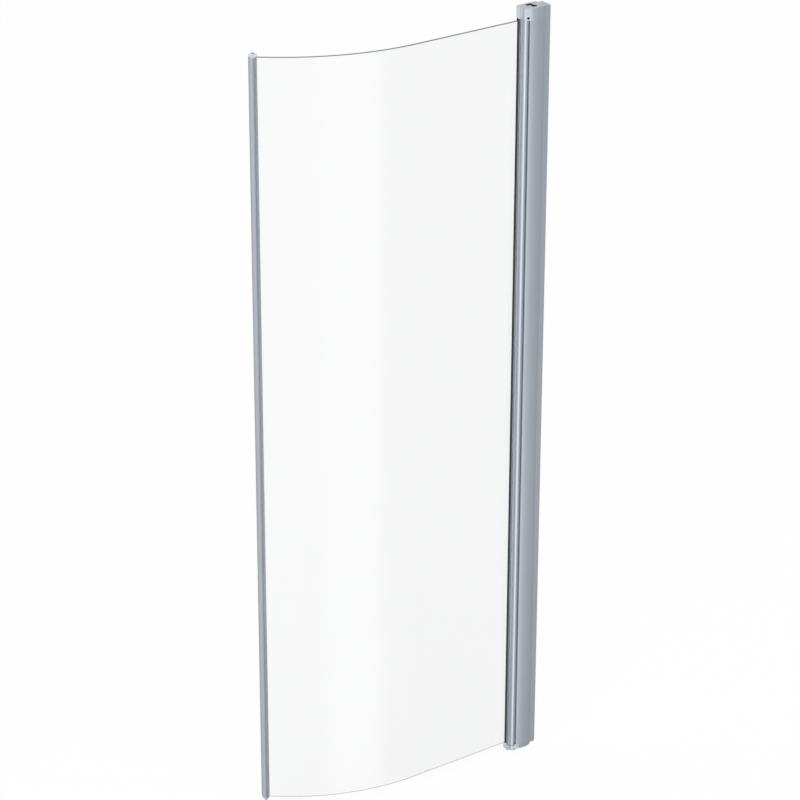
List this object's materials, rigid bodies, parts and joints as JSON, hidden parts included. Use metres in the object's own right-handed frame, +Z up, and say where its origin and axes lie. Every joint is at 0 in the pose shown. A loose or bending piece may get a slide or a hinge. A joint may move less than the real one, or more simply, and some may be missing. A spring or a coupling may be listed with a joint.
{
  "type": "shower door",
  "caption": "Curved clear glass shower door on a full-height aluminium wall and hinge profile, with a slim pointed closing and grip profile. It opens outwards.",
  "frame": {"origin": "middle of the wall channel's back face, which lies on the wall", "axes": "+Z up, +X into the wall, +Y into the shower, so the door reaches towards -X and bows towards -Y, the outside"},
  "size_m": [0.7144, 0.184, 1.9528],
  "materials": {
    "profile": "satin anodised, slightly blue silver",
    "cap": "satin silver lacquer on a casting",
    "insert": "light grey, smooth",
    "grey_plastic": "silver grey, fine matt",
    "light_plastic": "light grey, fine matt",
    "dark_seal": "soft black, matt",
    "clear_gasket": "grey, translucent look",
    "seal_grey": "grey, smooth",
    "magnet": "dark magnetic rubber, matt",
    "steel": "bright stainless",
    "dark_steel": "blackened",
    "bearing": "natural white, waxy",
    "glass": "clear toughened, polished edges"
  },
  "bodies": {
    "wall_frame": {"wall_channel": "profile", "channel_top_cap": "grey_plastic", "channel_bottom_cap": "grey_plastic"},
    "post": {"hinge_post": "profile", "socket_seal": "seal_grey", "top_cap": "cap", "top_cap_insert": "insert", "top_pivot_pin": "steel", "pin_grub_screw": "dark_steel", "top_cap_screws": "steel", "bottom_cap": "cap", "bottom_cap_screws": "steel", "bottom_pivot_pin": "steel", "thrust_washer": "bearing", "adjusting_screws": "steel", "adjusting_nuts": "steel", "adjusting_screw_covers": "grey_plastic"},
    "door": {"glass_panel": "glass", "hinge_bead": "profile", "glazing_gasket": "dark_seal", "top_bush": "bearing", "bottom_bush": "bearing", "grip_profile": "profile", "grip_gasket": "clear_gasket", "magnet_seal": "seal_grey", "magnet_strip": "magnet", "grip_top_cap": "light_plastic", "grip_bottom_cap": "grey_plastic", "grip_cap_screws": "dark_steel"}
  },
  "joints": [
    {"name": "post_adjust", "type": "slide", "parent": "wall_frame", "child": "post", "axis": [-1, 0, 0], "range_m": [-0.01, 0.006]},
    {"name": "door_swing", "type": "hinge", "parent": "post", "child": "door", "pos_m": [-0.061, -0.0025, 0], "axis": [0, 0, 1], "range_deg": [0, 90]}
  ]
}
